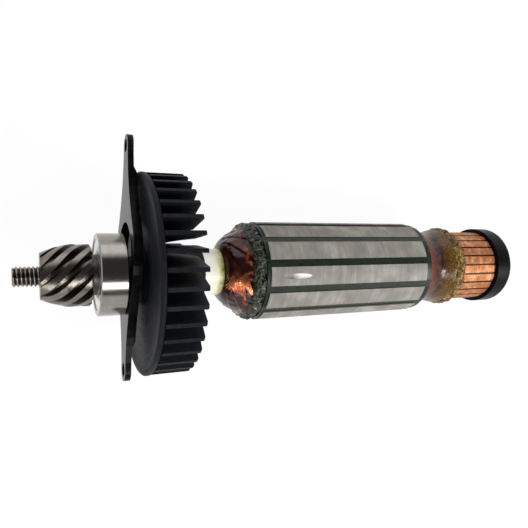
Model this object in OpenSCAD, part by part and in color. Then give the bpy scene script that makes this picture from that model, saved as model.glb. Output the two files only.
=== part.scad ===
// Armature of a mains power-tool motor: shaft, helical pinion, two ball bearings,
// a loose bearing retainer, a radial cooling fan, a wound twelve-slot core and a
// twenty-four-bar commutator. The shaft lies along X, from the pinion to the
// commutator, and the origin is the middle of the front bearing.

/* [Shaft] */
// Diameter of the shaft in the front bearing, the fan and the core
shaft_d = 12; // [11:0.1:12.5]
// Diameter of the shaft end that the pinion is pressed on
pinion_seat_d = 10; // [8.5:0.1:10.6]
// Diameter of the threaded end
stud_d = 7.7; // [6:0.1:8]
// Length of the threaded end in front of the pinion
stud_len = 9.3; // [6:0.1:14]
// Diameter of the shaft in the rear bearing
rear_journal_d = 9; // [8:0.1:9.4]
// Chamfer on the shaft ends
shaft_chamfer = 0.6; // [0.3:0.1:1]

/* [Pinion] */
// Length of the pinion
pinion_len = 18; // [14:0.5:22]
// Outside diameter over the teeth
pinion_od = 23.6; // [22:0.1:25]
// Diameter at the bottom of the tooth gaps
pinion_root_d = 16.4; // [14.5:0.1:18]
// Diameter of the flat front face, where the teeth run out
pinion_nose_d = 17.4; // [16:0.1:20]
// Length of the rounded nose
pinion_nose_len = 10.5; // [6:0.5:12]
// Number of teeth
pinion_teeth = 10; // [8:1:13]
// Axial travel of one full turn of a tooth
pinion_lead = 65; // [50:1:90]
// Where the first tooth stands at the front face, in degrees
pinion_phase = 20; // [0:1:36]
// Width of the washer between pinion and bearing
pinion_washer_w = 2; // [1:0.1:3]
// Diameter of the washer between pinion and bearing
pinion_washer_d = 15.6; // [14:0.1:17]

/* [Front bearing] */
// Outside diameter of the front bearing
front_od = 32; // [31:0.1:33]
// Width of the front bearing
front_w = 10; // [9:0.1:11]
// Diameter of the balls of the front bearing
front_ball_d = 5.95; // [5.5:0.05:6.2]
// Number of balls in the front bearing
front_balls = 7; // [6:1:8]

/* [Bearing retainer] */
// Thickness of the retainer plate at its ears
plate_t = 2.3; // [1.6:0.1:2.4]
// Height of the pad on the fan side of the plate
plate_pad_t = 1.3; // [0.8:0.1:1.4]
// Length of that pad
plate_pad_len = 71; // [60:1:74]
// Distance between the two screw holes
plate_hole_span = 88; // [82:0.5:94]
// Diameter of the screw holes
plate_hole_d = 5.2; // [4:0.1:5.6]
// Diameter of the round middle of the plate
plate_d = 39; // [37:0.1:42]
// Diameter of the opening for the shaft
plate_bore_d = 27.6; // [25:0.1:28]
// Diameter of the rounded ends of the two ears
plate_ear_d = 8.8; // [8.4:0.1:11]
// Distance from the bearing to the middle of the loose plate
plate_gap = 0.92; // [0.9:0.01:1]
// How far the loose plate leans from square, in degrees
plate_lean = 1.75; // [0:0.05:1.8]

/* [Fan] */
// Outside diameter of the fan
fan_od = 80; // [74:0.5:86]
// Distance from the bearing face to the fan
fan_gap = 5.9; // [5.7:0.1:7]
// Width of the rim at the edge of the back disc
fan_rim_w = 2; // [1.8:0.1:3]
// Thickness of the back disc
fan_disc_t = 1.6; // [1.2:0.1:2.2]
// How deep the front of the disc is dished behind the rim
fan_dish = 1; // [0.6:0.1:1.4]
// Width of the flat land at the edge of the dished front
fan_land_w = 2; // [1:0.1:3]
// Width of the slope from that land down into the dish
fan_dish_slope_w = 6; // [4:0.5:8]
// Number of blades
fan_blades = 38; // [30:1:42]
// Thickness of a blade
fan_blade_t = 1.6; // [1.2:0.1:1.8]
// Length of the blades from the rim to their free end
fan_blade_len = 15.1; // [12:0.1:18]
// Radius at which the free end of a blade stops
fan_blade_tip_r = 26; // [24:0.5:30]
// Radius at which the foot of a blade stops
fan_blade_foot_r = 14.5; // [14:0.5:20]
// How far a blade is swept back for each millimetre inwards, in degrees
fan_sweep = 0.352; // [0:0.01:0.5]
// How much that sweep grows for each millimetre inwards
fan_curl = 0.027; // [0:0.001:0.03]
// Where the first blade stands, in degrees
fan_phase = 2.5; // [0:0.1:9.4]
// Diameter of the hub boss
fan_hub_d = 24; // [22:0.1:26]
// Length of the hub boss
fan_hub_len = 19.1; // [16:0.1:20]
// Diameter of the neck behind the boss
fan_neck_d = 21; // [20.4:0.1:21.6]
// Length of the neck behind the boss
fan_neck_len = 6; // [4:0.5:8]
// Diameter of the spacer between bearing and fan
spacer_d = 14; // [13.4:0.1:15]

/* [Core] */
// Outside diameter of the lamination stack
core_od = 42; // [41:0.1:44]
// Length of the lamination stack
core_len = 78.4; // [70:0.2:86]
// Distance from the fan to the lamination stack
core_gap = 49; // [46:0.2:54]
// Number of winding slots
slots = 12; // [10:1:12]
// Width of the slot mouth
slot_mouth_w = 3.1; // [2.6:0.1:3.4]
// Depth of the slot mouth
slot_mouth_h = 1.6; // [1.4:0.1:1.9]
// Width of the slot at its outer end
slot_w = 5.4; // [5:0.1:5.8]
// Depth of the slot below the core surface
slot_h = 8.6; // [8:0.1:9]
// Where the first slot stands, in degrees
slot_phase = 21.4; // [0:0.1:30]
// Diameter of the insulating sleeve on the shaft
sleeve_d = 19.4; // [18.6:0.1:20]
// Thickness of the fibre ring at the fan end of the core
ring_front_t = 1.6; // [1.2:0.1:2.2]
// Thickness of the fibre ring at the commutator end of the core
ring_rear_t = 3; // [2.4:0.1:3.4]
// How far the fibre rings stay below the core surface
ring_step = 0.5; // [0.3:0.1:0.8]
// Thickness of the slot liner
liner_t = 0.35; // [0.3:0.05:0.45]
// How far the slot wedges lie below the core surface
wedge_step = 0.6; // [0.4:0.1:0.8]
// Distance of the balancing cut from the fan end of the core
cut_start = 5; // [3:0.5:20]
// Length of the balancing cut in the core
cut_len = 13.8; // [9:0.1:16]
// Diameter of the cutter that made it
cut_d = 2.3; // [2:0.1:3.4]
// Depth of the balancing cut at its middle
cut_depth = 0.9; // [0.6:0.1:1]
// Where the balancing cut lies, in degrees
cut_angle = 96.4; // [92:0.1:98]

/* [Windings] */
// Length of the winding head at the fan end
head_front_len = 14.6; // [13.4:0.2:16]
// Length of the folded slot insulation beside the core
cuff_len = 5.4; // [4:0.1:5.6]
// How far the folds of the slot insulation stand over the core surface
cuff_rise = 0.4; // [0.2:0.1:0.6]
// Diameter of the winding head where it meets the sleeve
head_nose_d = 20.8; // [20.4:0.1:22]
// Length of the winding between the core and the risers
head_rear_len = 16.6; // [15:0.2:18]
// Diameter of the winding in front of the risers
head_waist_d = 34; // [33:0.1:35]

/* [Commutator] */
// Diameter of the brush track
track_d = 34; // [33:0.1:35]
// Length of the brush track
track_len = 18.2; // [15:0.1:20]
// Number of copper bars
bars = 24; // [20:1:26]
// Width of the gap between bars
bar_gap = 0.6; // [0.4:0.05:0.8]
// How far the insulation between bars is undercut
undercut = 0.9; // [0.6:0.1:1.2]
// Height of a bar
bar_h = 4; // [3.4:0.1:4.6]
// Where the first gap stands, in degrees
bar_phase = 13.8; // [0:0.1:15]
// Width of the riser band
riser_w = 8.4; // [7:0.1:9]
// Diameter over the resin beads on the risers
riser_d = 38.4; // [37.8:0.1:39]
// Chamfer on the free end of the bars
bar_chamfer = 0.6; // [0.3:0.1:1]

/* [Rear bearing] */
// Outside diameter of the rear bearing
rear_od = 26; // [25.5:0.1:27]
// Width of the rear bearing
rear_w = 8; // [7:0.1:9]
// Diameter of the balls of the rear bearing
rear_ball_d = 4.75; // [4.4:0.05:5]
// Number of balls in the rear bearing
rear_balls = 7; // [6:1:8]
// Distance from the commutator to the rear bearing
rear_gap = 1.4; // [1.1:0.1:2]
// Outside diameter of the rubber sleeve on the rear bearing
boot_d = 37.6; // [35:0.1:38]
// Length of the rubber sleeve
boot_len = 9.5; // [9.1:0.1:10.5]
// Rounding of the outer edge of the rubber sleeve
boot_round = 2.4; // [1.5:0.1:3]

/* [Clearances] */
// Play between a ball and the races or the cage pocket
ball_play = 0.06; // [0.04:0.01:0.1]
// Gap between a bearing shield and the inner ring
shield_play = 0.3; // [0.2:0.05:0.35]
// Gap between the loose plate and the spacer that it hangs on
plate_play = 0.3; // [0.25:0.05:0.5]
// Gap between the rubber sleeve and the commutator
boot_play = 0.5; // [0.4:0.1:0.9]

/* [Hidden] */
$fn = 72;
eps = 0.01;
front_half = front_w / 2;
front_pitch_d = (front_od + shaft_d) / 2;
rear_pitch_d = (rear_od + rear_journal_d) / 2;
pinion_rear_x = -front_half - pinion_washer_w;
pinion_front_x = pinion_rear_x - pinion_len;
stud_front_x = pinion_front_x - stud_len;
fan_x = front_half + fan_gap;
fan_hub_end_x = fan_x + fan_hub_len;
fan_end_x = fan_hub_end_x + fan_neck_len;
core_x = fan_x + core_gap;
core_end_x = core_x + core_len;
ring_front_x = core_x - ring_front_t;
ring_rear_x = core_end_x + ring_rear_t;
head_front_x = ring_front_x - head_front_len;
riser_x = ring_rear_x + head_rear_len;
track_x = riser_x + riser_w;
track_end_x = track_x + track_len;
rear_x = track_end_x + rear_gap;
rear_end_x = rear_x + rear_w;
rear_mid_x = rear_x + rear_w / 2;
boot_x = track_end_x + boot_play;
boot_end_x = boot_x + boot_len;
shaft_end_x = rear_end_x + 0.8;
core_r = core_od / 2;
slot_step = 360 / slots;
bar_step = 360 / bars;
bar_r = track_d / 2 - bar_h;
cuff_r = core_r - 3;
plate_shift = plate_bore_d / 2 - spacer_d / 2 - plate_play;
shield_t = 0.4;

// ---- helpers ----

// Lays a form that was drawn about Z along the shaft, with its base at x
module along(x = 0) {
    translate([x, 0, 0])
        rotate([90, 0, 90])
            children();
}

// A plain tube from x to x + w
module tube(x, w, outer_d, inner_d) {
    along(x)
        difference() {
            cylinder(h = w, d = outer_d);
            translate([0, 0, -1])
                cylinder(h = w + 2, d = inner_d);
        }
}

// Copies its child n times round the axis
module ring_of(n, phase = 0) {
    for (i = [0 : n - 1])
        rotate([0, 0, phase + i * 360 / n])
            children();
}

// A turned ring with a rectangular section and small outer and inner chamfers
module race_section(r_in, r_out, w, c) {
    polygon([[r_in + c, 0], [r_out - c, 0], [r_out, c], [r_out, w - c],
        [r_out - c, w], [r_in + c, w], [r_in, w - c], [r_in, c]]);
}

// ---- bearings ----

function shoulder(ball_d) = ball_d * 0.39;
function shield_seat(pitch_d, ball_d) = pitch_d / 2 + ball_d * 0.5;

// Inner ring of a bearing that starts at x
module inner_ring(x, w, bore_d, pitch_d, ball_d) {
    along(x)
        rotate_extrude()
            difference() {
                race_section(bore_d / 2, pitch_d / 2 - shoulder(ball_d), w, 0.3);
                translate([pitch_d / 2, w / 2])
                    circle(r = ball_d / 2 + ball_play);
            }
}

// Outer ring with a recess for a shield at each side
module outer_ring(x, w, od, pitch_d, ball_d) {
    seat = shield_seat(pitch_d, ball_d);
    along(x)
        rotate_extrude()
            difference() {
                race_section(pitch_d / 2 + shoulder(ball_d), od / 2, w, 0.4);
                translate([pitch_d / 2, w / 2])
                    circle(r = ball_d / 2 + ball_play);
                translate([0, -1])
                    square([seat, 1.8]);
                translate([0, w - 0.8])
                    square([seat, 1.8]);
            }
}

// One pressed shield, flush in the recess of the outer ring
module shield(x, pitch_d, ball_d) {
    tube(x, shield_t, 2 * shield_seat(pitch_d, ball_d),
        pitch_d - 2 * shoulder(ball_d) + 2 * shield_play);
}

module ball_set(x, n, pitch_d, ball_d) {
    along(x)
        ring_of(n)
            translate([pitch_d / 2, 0, 0])
                sphere(d = ball_d);
}

// Moulded crown cage: a band whose ball pockets are open towards the front
module cage(x, n, pitch_d, ball_d) {
    front_w = ball_d * 0.3;
    back_w = ball_d / 2 + 0.7;
    along(x)
        difference() {
            translate([0, 0, -front_w])
                cylinder(h = front_w + back_w, r = pitch_d / 2 + ball_d * 0.26);
            translate([0, 0, -front_w - 1])
                cylinder(h = front_w + back_w + 2, r = pitch_d / 2 - ball_d * 0.26);
            ring_of(n)
                translate([pitch_d / 2, 0, 0])
                    sphere(d = ball_d + 2 * ball_play);
        }
}

module front_bearing_outer_ring()
    color("silver")
        outer_ring(-front_half, front_w, front_od, front_pitch_d, front_ball_d);

module front_bearing_inner_ring()
    color("silver")
        inner_ring(-front_half, front_w, shaft_d, front_pitch_d, front_ball_d);

module front_bearing_balls()
    color("gainsboro")
        ball_set(0, front_balls, front_pitch_d, front_ball_d);

module front_bearing_cage()
    color("tan")
        cage(0, front_balls, front_pitch_d, front_ball_d);

module front_bearing_shield_front()
    color("lightgray")
        shield(-front_half + 0.4, front_pitch_d, front_ball_d);

module front_bearing_shield_rear()
    color("lightgray")
        shield(front_half - 0.8, front_pitch_d, front_ball_d);

module rear_bearing_outer_ring()
    color("silver")
        outer_ring(rear_x, rear_w, rear_od, rear_pitch_d, rear_ball_d);

module rear_bearing_inner_ring()
    color("silver")
        inner_ring(rear_x, rear_w, rear_journal_d, rear_pitch_d, rear_ball_d);

module rear_bearing_balls()
    color("gainsboro")
        ball_set(rear_mid_x, rear_balls, rear_pitch_d, rear_ball_d);

module rear_bearing_cage()
    color("tan")
        cage(rear_mid_x, rear_balls, rear_pitch_d, rear_ball_d);

module rear_bearing_shield_front()
    color("lightgray")
        shield(rear_x + 0.4, rear_pitch_d, rear_ball_d);

module rear_bearing_shield_rear()
    color("lightgray")
        shield(rear_end_x - 0.8, rear_pitch_d, rear_ball_d);

// Rubber sleeve that carries the rear bearing in the motor housing
module rear_bearing_sleeve()
    color([0.10, 0.10, 0.11])
        along(boot_x)
            rotate_extrude()
                difference() {
                    union() {
                        square([boot_d / 2, boot_len - boot_round]);
                        square([boot_d / 2 - boot_round, boot_len]);
                        translate([boot_d / 2 - boot_round, boot_len - boot_round])
                            circle(r = boot_round);
                    }
                    translate([-1, rear_gap - boot_play])
                        square([rear_od / 2 + 1, rear_w]);
                    translate([-1, -1])
                        square([rear_od / 2 + 1, rear_gap - boot_play + 2]);
                    translate([-1, rear_gap - boot_play + rear_w - 1])
                        square([rear_od / 2 - 0.8, boot_len]);
                }

// ---- shaft ----

module shaft() {
    seat_r = pinion_seat_d / 2;
    body_r = shaft_d / 2;
    rear_r = rear_journal_d / 2;
    c = shaft_chamfer;
    color([0.45, 0.44, 0.42])
        along()
            rotate_extrude()
                polygon([[0, pinion_front_x], [seat_r, pinion_front_x],
                    [seat_r, -front_half], [body_r, -front_half],
                    [body_r, track_end_x], [rear_r, track_end_x],
                    [rear_r, shaft_end_x - c], [rear_r - c, shaft_end_x],
                    [0, shaft_end_x]]);
}

module shaft_stud()
    color([0.38, 0.35, 0.33])
        along(stud_front_x)
            rotate_extrude()
                polygon([[0, 0], [stud_d / 2 - shaft_chamfer, 0],
                    [stud_d / 2, shaft_chamfer], [stud_d / 2, stud_len], [0, stud_len]]);

module pinion_washer()
    color([0.32, 0.30, 0.28])
        tube(pinion_rear_x, pinion_washer_w, pinion_washer_d, pinion_seat_d);

module shaft_spacer()
    color([0.30, 0.30, 0.30])
        tube(front_half, fan_gap, spacer_d, shaft_d);

module rear_spacer()
    color([0.40, 0.40, 0.40])
        tube(track_end_x, rear_gap, rear_journal_d + 3.2, rear_journal_d);

// ---- pinion ----

// Outline of the teeth square to the shaft: wide lands, hollow flanks, round gaps
function tooth_outline(n, r_tip, r_root) = let (step = 360 / n)
    [for (i = [0 : n - 1], p = [[-0.36, 0.04], [-0.27, 0.55], [-0.20, 1], [0, 1],
        [0.20, 1], [0.27, 0.55], [0.36, 0.04]])
        let (a = (i + p[0]) * step, r = r_root + (r_tip - r_root) * p[1])
        [r * cos(a), r * sin(a)]];

// Rounded nose that the teeth run out on
module pinion_blank() {
    nose_r = pinion_nose_d / 2;
    tip_r = pinion_od / 2;
    rise = tip_r - nose_r;
    rotate_extrude()
        polygon(concat([[0, 0], [nose_r, 0]],
            [for (t = [0.1 : 0.15 : 1])
                [nose_r + rise * (1 - pow(1 - t, 1.5)), pinion_nose_len * t]],
            [[tip_r, pinion_len - 0.7], [tip_r - 0.7, pinion_len], [0, pinion_len]]));
}

module pinion()
    color([0.36, 0.35, 0.34])
        along(pinion_front_x)
            difference() {
                intersection() {
                    rotate([0, 0, pinion_phase])
                        linear_extrude(height = pinion_len, convexity = 6, slices = 22,
                            twist = 360 * pinion_len / pinion_lead)
                            polygon(tooth_outline(pinion_teeth, pinion_od / 2 + 0.2,
                                pinion_root_d / 2));
                    pinion_blank();
                }
                translate([0, 0, -1])
                    cylinder(h = pinion_len + 2, d = pinion_seat_d);
            }

// ---- bearing retainer ----

// Outline of the plate: a round middle that sweeps in to two narrow ears
module plate_outline(inset = 0) {
    half_span = plate_hole_span / 2;
    ear_r = plate_ear_d / 2 - inset;
    disc_r = plate_d / 2 - inset;
    lean = 35;
    from = disc_r * sin(lean);
    shoulder_w = disc_r * cos(lean);
    quarter = concat(
        [for (a = [0 : 15 : 90]) [half_span + ear_r * cos(a), ear_r * sin(a)]],
        [for (t = [0.1 : 0.1 : 0.95])
            [half_span + (from - half_span) * t, ear_r + (shoulder_w - ear_r) * t * t]],
        [for (a = [lean : -5 : 5]) [disc_r * sin(a), disc_r * cos(a)]]);
    last = len(quarter) - 1;
    polygon(concat(quarter, [[0, disc_r]],
        [for (i = [last : -1 : 0]) [-quarter[i][0], quarter[i][1]]],
        [for (i = [1 : last]) -quarter[i]], [[0, -disc_r]],
        [for (i = [last : -1 : 1]) [quarter[i][0], -quarter[i][1]]]));
}

// Pad on the fan side of the plate, with a ramp at each end
module plate_pad() {
    half_len = plate_pad_len / 2;
    run = 2.2 * plate_pad_t;
    top = plate_t + plate_pad_t;
    intersection() {
        linear_extrude(height = top)
            plate_outline(0.6);
        rotate([90, 0, 0])
            translate([0, 0, -plate_d])
                linear_extrude(height = 2 * plate_d)
                    polygon([[-half_len, plate_t - 0.5], [half_len, plate_t - 0.5],
                        [half_len, plate_t], [half_len - run, top],
                        [run - half_len, top], [-half_len, plate_t]]);
    }
}

module bearing_retainer() {
    half_span = plate_hole_span / 2;
    top = plate_t + plate_pad_t;
    color([0.12, 0.12, 0.12])
        translate([front_half + plate_gap, plate_shift, 0])
            rotate([0, 0, -plate_lean])
                rotate([90, 0, 90])
                    difference() {
                        union() {
                            linear_extrude(height = plate_t)
                                plate_outline();
                            plate_pad();
                        }
                        translate([0, 0, -1])
                            cylinder(h = top + 2, d = plate_bore_d);
                        for (side = [-1, 1])
                            translate([side * half_span, 0, -1])
                                cylinder(h = plate_t + 2, d = plate_hole_d);
                    }
}

// ---- fan ----

module fan_disc() {
    r = fan_od / 2;
    hub_r = fan_hub_d / 2;
    neck_r = fan_neck_d / 2;
    land_r = r - fan_land_w;
    slope_w = fan_dish_slope_w;
    edge = 0.6;
    rotate_extrude()
        polygon([[shaft_d / 2, 0], [hub_r, 0], [hub_r + 1, fan_dish],
            [land_r - slope_w, fan_dish], [land_r - slope_w / 2, fan_dish * 0.75],
            [land_r - slope_w / 6, fan_dish * 0.3], [land_r, 0],
            [r - edge, 0], [r, edge], [r, fan_rim_w - edge / 2],
            [r - edge / 2, fan_rim_w], [r - fan_land_w - 1, fan_dish + fan_disc_t],
            [hub_r, fan_dish + fan_disc_t], [hub_r, fan_hub_len - 2],
            [neck_r, fan_hub_len], [neck_r, fan_hub_len + fan_neck_len - 0.8],
            [neck_r - 0.8, fan_hub_len + fan_neck_len],
            [shaft_d / 2, fan_hub_len + fan_neck_len]]);
}

// Angle of a blade at radius r, relative to its outer edge
function blade_angle(r) = let (s = fan_od / 2 - r) -fan_sweep * s - fan_curl * s * s;

// Outline of one blade square to the shaft: a strip that curls towards the hub
module blade_outline() {
    r_out = fan_od / 2 - 0.15;
    r_in = fan_blade_foot_r - 0.5;
    steps = 9;
    radii = [for (i = [0 : steps]) r_out + (r_in - r_out) * i / steps];
    function edge(r, side) = let (a = blade_angle(r) + side * asin(fan_blade_t / 2 / r))
        [r * cos(a), r * sin(a)];
    polygon(concat([for (r = radii) edge(r, 1)],
        [for (i = [steps : -1 : 0]) edge(radii[i], -1)]));
}

// All blades, cut to the slanted line of their inner edges
module fan_blade_ring() {
    foot_z = fan_dish + fan_disc_t - 0.4;
    tip_z = fan_rim_w + fan_blade_len;
    r_out = fan_od / 2;
    intersection() {
        rotate_extrude()
            polygon([[fan_blade_foot_r, foot_z], [r_out, foot_z], [r_out, tip_z - 0.6],
                [r_out - 0.6, tip_z], [fan_blade_tip_r, tip_z]]);
        linear_extrude(height = tip_z + 1, convexity = 8)
            ring_of(fan_blades, fan_phase)
                blade_outline();
    }
}

module fan()
    color([0.15, 0.15, 0.16])
        along(fan_x) {
            fan_disc();
            fan_blade_ring();
        }

// ---- core ----

slot_tip_r = slot_w / 2;
slot_foot_r = slot_w * 0.32;
slot_tip_c = core_r - slot_mouth_h - slot_tip_r * 0.8;
slot_foot_c = core_r - slot_h + slot_foot_r;

// Pear-shaped slot, with shrink as the thickness left for the liner
module slot_outline(shrink = 0) {
    tip_r = slot_tip_r - shrink;
    foot_r = slot_foot_r - shrink;
    a = acos((tip_r - foot_r) / (slot_tip_c - slot_foot_c));
    translate([slot_tip_c, 0])
        circle(r = tip_r);
    translate([slot_foot_c, 0])
        circle(r = foot_r);
    polygon([[slot_tip_c - tip_r * cos(a), tip_r * sin(a)],
        [slot_foot_c - foot_r * cos(a), foot_r * sin(a)],
        [slot_foot_c - foot_r * cos(a), -foot_r * sin(a)],
        [slot_tip_c - tip_r * cos(a), -tip_r * sin(a)]]);
}

module slot_mouth() {
    translate([slot_tip_c, -slot_mouth_w / 2])
        square([core_r - slot_tip_c + 2, slot_mouth_w]);
}

// One sheet of the stack: a disc with the sleeve bore and all slots
module sheet_outline(r) {
    difference() {
        circle(r = r, $fn = 180);
        circle(d = sleeve_d);
        ring_of(slots, slot_phase) {
            slot_outline();
            slot_mouth();
        }
    }
}

// Boat-shaped cut that a disc cutter left when the rotor was balanced
module balancing_cut() {
    half_len = cut_len / 2;
    cutter_r = (half_len * half_len + cut_depth * cut_depth) / (2 * cut_depth);
    rotate([0, 0, cut_angle])
        translate([core_r + cutter_r - cut_depth, 0, cut_start + half_len])
            rotate([90, 0, 0])
                rotate_extrude($fn = 180)
                    translate([cutter_r - cut_d / 2, 0])
                        circle(d = cut_d, $fn = 48);
}

module lamination_core()
    color([0.62, 0.60, 0.56])
        along(core_x)
            difference() {
                linear_extrude(height = core_len, convexity = 8)
                    sheet_outline(core_r);
                balancing_cut();
            }

module fibre_ring(x, t)
    along(x)
        linear_extrude(height = t, convexity = 8)
            sheet_outline(core_r - ring_step);

module fibre_ring_front()
    color([0.22, 0.26, 0.20])
        fibre_ring(ring_front_x, ring_front_t);

module fibre_ring_rear()
    color([0.22, 0.26, 0.20])
        fibre_ring(core_end_x, ring_rear_t);

module slot_liners()
    color([0.16, 0.22, 0.16])
        along(ring_front_x)
            linear_extrude(height = ring_rear_x - ring_front_x, convexity = 4)
                ring_of(slots, slot_phase)
                    difference() {
                        slot_outline();
                        slot_outline(liner_t);
                        slot_mouth();
                    }

module slot_wedges()
    color([0.14, 0.22, 0.17])
        along(ring_front_x)
            linear_extrude(height = ring_rear_x - ring_front_x)
                ring_of(slots, slot_phase)
                    translate([core_r - slot_mouth_h, -slot_mouth_w / 2])
                        square([slot_mouth_h - wedge_step, slot_mouth_w]);

module slot_coils()
    color([0.45, 0.22, 0.12])
        along(ring_front_x)
            linear_extrude(height = ring_rear_x - ring_front_x)
                ring_of(slots, slot_phase)
                    difference() {
                        slot_outline(liner_t);
                        translate([core_r - slot_mouth_h, -slot_w])
                            square([slot_w, 2 * slot_w]);
                    }

module insulating_sleeve()
    color([0.90, 0.88, 0.78])
        tube(fan_end_x, ring_rear_x - fan_end_x, sleeve_d, shaft_d);

// ---- windings ----

// Winding head at the fan end: a dome of wire from the sleeve up to the slot insulation
module winding_head_front() {
    r_top = core_r - 0.6;
    r_nose = head_nose_d / 2;
    rise = r_top - r_nose;
    l = head_front_len;
    color([0.36, 0.12, 0.10])
        along(head_front_x)
            rotate_extrude()
                polygon(concat([[sleeve_d / 2, 0], [r_nose - 0.6, 0]],
                    [for (p = [[0.05, 0.13], [0.12, 0.26], [0.21, 0.40], [0.32, 0.53],
                        [0.45, 0.65], [0.55, 0.75]])
                        [r_nose + rise * p[1], l * p[0]]],
                    [[cuff_r, l - cuff_len - 0.2], [cuff_r, l], [sleeve_d / 2, l]]));
}

// Slot insulation folded over at the fan end: a ring with a lump at every slot
module slot_cuffs() {
    lump_r = 2.1;
    ring_r = core_r + cuff_rise - lump_r;
    color([0.10, 0.17, 0.12])
        along(ring_front_x)
            difference() {
                union() {
                    rotate_extrude()
                        polygon([[cuff_r, 0], [core_r - 1, 0], [core_r - 0.6, -1],
                            [core_r - 0.9, -cuff_len * 0.6], [cuff_r + 1, -cuff_len],
                            [cuff_r, -cuff_len]]);
                    ring_of(slots, slot_phase)
                        translate([ring_r, 0, -lump_r - 0.1])
                            sphere(r = lump_r);
                    ring_of(slots, slot_phase + slot_step / 2)
                        translate([ring_r + 0.4, 0, -cuff_len / 2])
                            sphere(r = lump_r - 0.5);
                }
                translate([0, 0, -cuff_len - 1])
                    cylinder(h = cuff_len + 2, r = cuff_r);
            }
}

// Winding between the core and the risers, drawn in to a smooth waist
module winding_head_rear() {
    r_waist = head_waist_d / 2;
    l = head_rear_len;
    color([0.34, 0.20, 0.18])
        along(ring_rear_x)
            rotate_extrude()
                polygon(concat([[shaft_d / 2, 0], [r_waist + 1.4, 0]],
                    [for (p = [[0.10, 1.5], [0.25, 1.2], [0.40, 0.6], [0.53, 0.1],
                        [0.64, 0], [0.76, 0.2], [0.88, 0.8], [1, 1.3]])
                        [r_waist + p[1], l * p[0]]],
                    [[shaft_d / 2, l]]));
}

// ---- commutator ----

module bar_sector(r_in, r_out, z0, z1) {
    half = 180 / bars;
    rotate([0, 0, bar_phase + half])
        translate([0, 0, z0])
            linear_extrude(height = z1 - z0)
                difference() {
                    intersection() {
                        circle(r = r_out, $fn = 180);
                        polygon([[0, 0], [40 * cos(half), 40 * sin(half)],
                            [42, 0], [40 * cos(half), -40 * sin(half)]]);
                    }
                    circle(r = r_in, $fn = 180);
                    for (side = [-1, 1])
                        rotate([0, 0, side * half])
                            translate([0, -bar_gap / 2])
                                square([40, bar_gap]);
                }
}

module commutator_bars()
    color([0.78, 0.52, 0.34])
        along(riser_x)
            ring_of(bars)
                bar_sector(bar_r, track_d / 2, riser_w - 2, riser_w + track_len);

// Moulded body that holds the bars, with a thin rib between each pair
module commutator_hub()
    color([0.16, 0.12, 0.10])
        along(riser_x)
            difference() {
                union() {
                    cylinder(h = riser_w + track_len, r = bar_r, $fn = 180);
                    translate([0, 0, riser_w - 2])
                        ring_of(bars, bar_phase)
                            translate([bar_r - 0.5, -bar_gap / 2, 0])
                                cube([bar_h + 0.5 - undercut, bar_gap, track_len + 2]);
                }
                translate([0, 0, -1])
                    cylinder(h = riser_w + track_len + 2, d = shaft_d);
            }

// Varnish over the hooks: a band with one bead on each riser
module riser_resin() {
    bead_r = 2.3;
    ring_r = riser_d / 2 - bead_r;
    color([0.52, 0.42, 0.20])
        along(riser_x)
            difference() {
                union() {
                    rotate_extrude()
                        polygon([[bar_r, 0], [ring_r + 0.6, 0], [ring_r + 1.6, 1.2],
                            [ring_r + 1.9, 4], [ring_r + 1.2, riser_w - 2],
                            [ring_r, riser_w - 2], [bar_r, riser_w - 2]]);
                    ring_of(bars, bar_phase + bar_step / 2)
                        translate([ring_r, 0, riser_w / 2 + 0.6])
                            sphere(r = bead_r);
                }
                translate([0, 0, -1])
                    cylinder(h = riser_w + 2, r = bar_r, $fn = 180);
                translate([0, 0, riser_w - 2])
                    cylinder(h = 4, d = track_d, $fn = 180);
            }
}

shaft();
shaft_stud();
pinion();
pinion_washer();
front_bearing_outer_ring();
front_bearing_inner_ring();
front_bearing_balls();
front_bearing_cage();
front_bearing_shield_front();
front_bearing_shield_rear();
bearing_retainer();
shaft_spacer();
fan();
insulating_sleeve();
winding_head_front();
slot_cuffs();
fibre_ring_front();
lamination_core();
slot_liners();
slot_coils();
slot_wedges();
fibre_ring_rear();
winding_head_rear();
riser_resin();
commutator_bars();
commutator_hub();
rear_spacer();
rear_bearing_outer_ring();
rear_bearing_inner_ring();
rear_bearing_balls();
rear_bearing_cage();
rear_bearing_shield_front();
rear_bearing_shield_rear();
rear_bearing_sleeve();
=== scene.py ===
import math

import bpy
import numpy as np
from mathutils import Matrix, Vector, noise


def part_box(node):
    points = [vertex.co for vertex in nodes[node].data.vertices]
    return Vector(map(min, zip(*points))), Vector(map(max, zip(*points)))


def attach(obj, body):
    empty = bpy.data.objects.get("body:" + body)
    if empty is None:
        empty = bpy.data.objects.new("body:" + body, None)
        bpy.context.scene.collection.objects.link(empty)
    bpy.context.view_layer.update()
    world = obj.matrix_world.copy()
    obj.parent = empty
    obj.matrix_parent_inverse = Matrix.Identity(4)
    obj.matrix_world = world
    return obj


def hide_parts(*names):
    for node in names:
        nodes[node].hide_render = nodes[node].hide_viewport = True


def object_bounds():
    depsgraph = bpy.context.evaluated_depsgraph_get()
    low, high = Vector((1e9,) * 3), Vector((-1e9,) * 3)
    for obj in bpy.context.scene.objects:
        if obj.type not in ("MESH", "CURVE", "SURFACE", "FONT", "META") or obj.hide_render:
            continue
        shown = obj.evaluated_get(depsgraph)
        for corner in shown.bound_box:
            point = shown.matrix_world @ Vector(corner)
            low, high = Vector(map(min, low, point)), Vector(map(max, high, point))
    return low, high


# Frame: +X runs along the shaft from pinion to commutator, with the origin at the
# centre of the front bearing. Angles round the shaft are in degrees, from +Y towards +Z.

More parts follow.
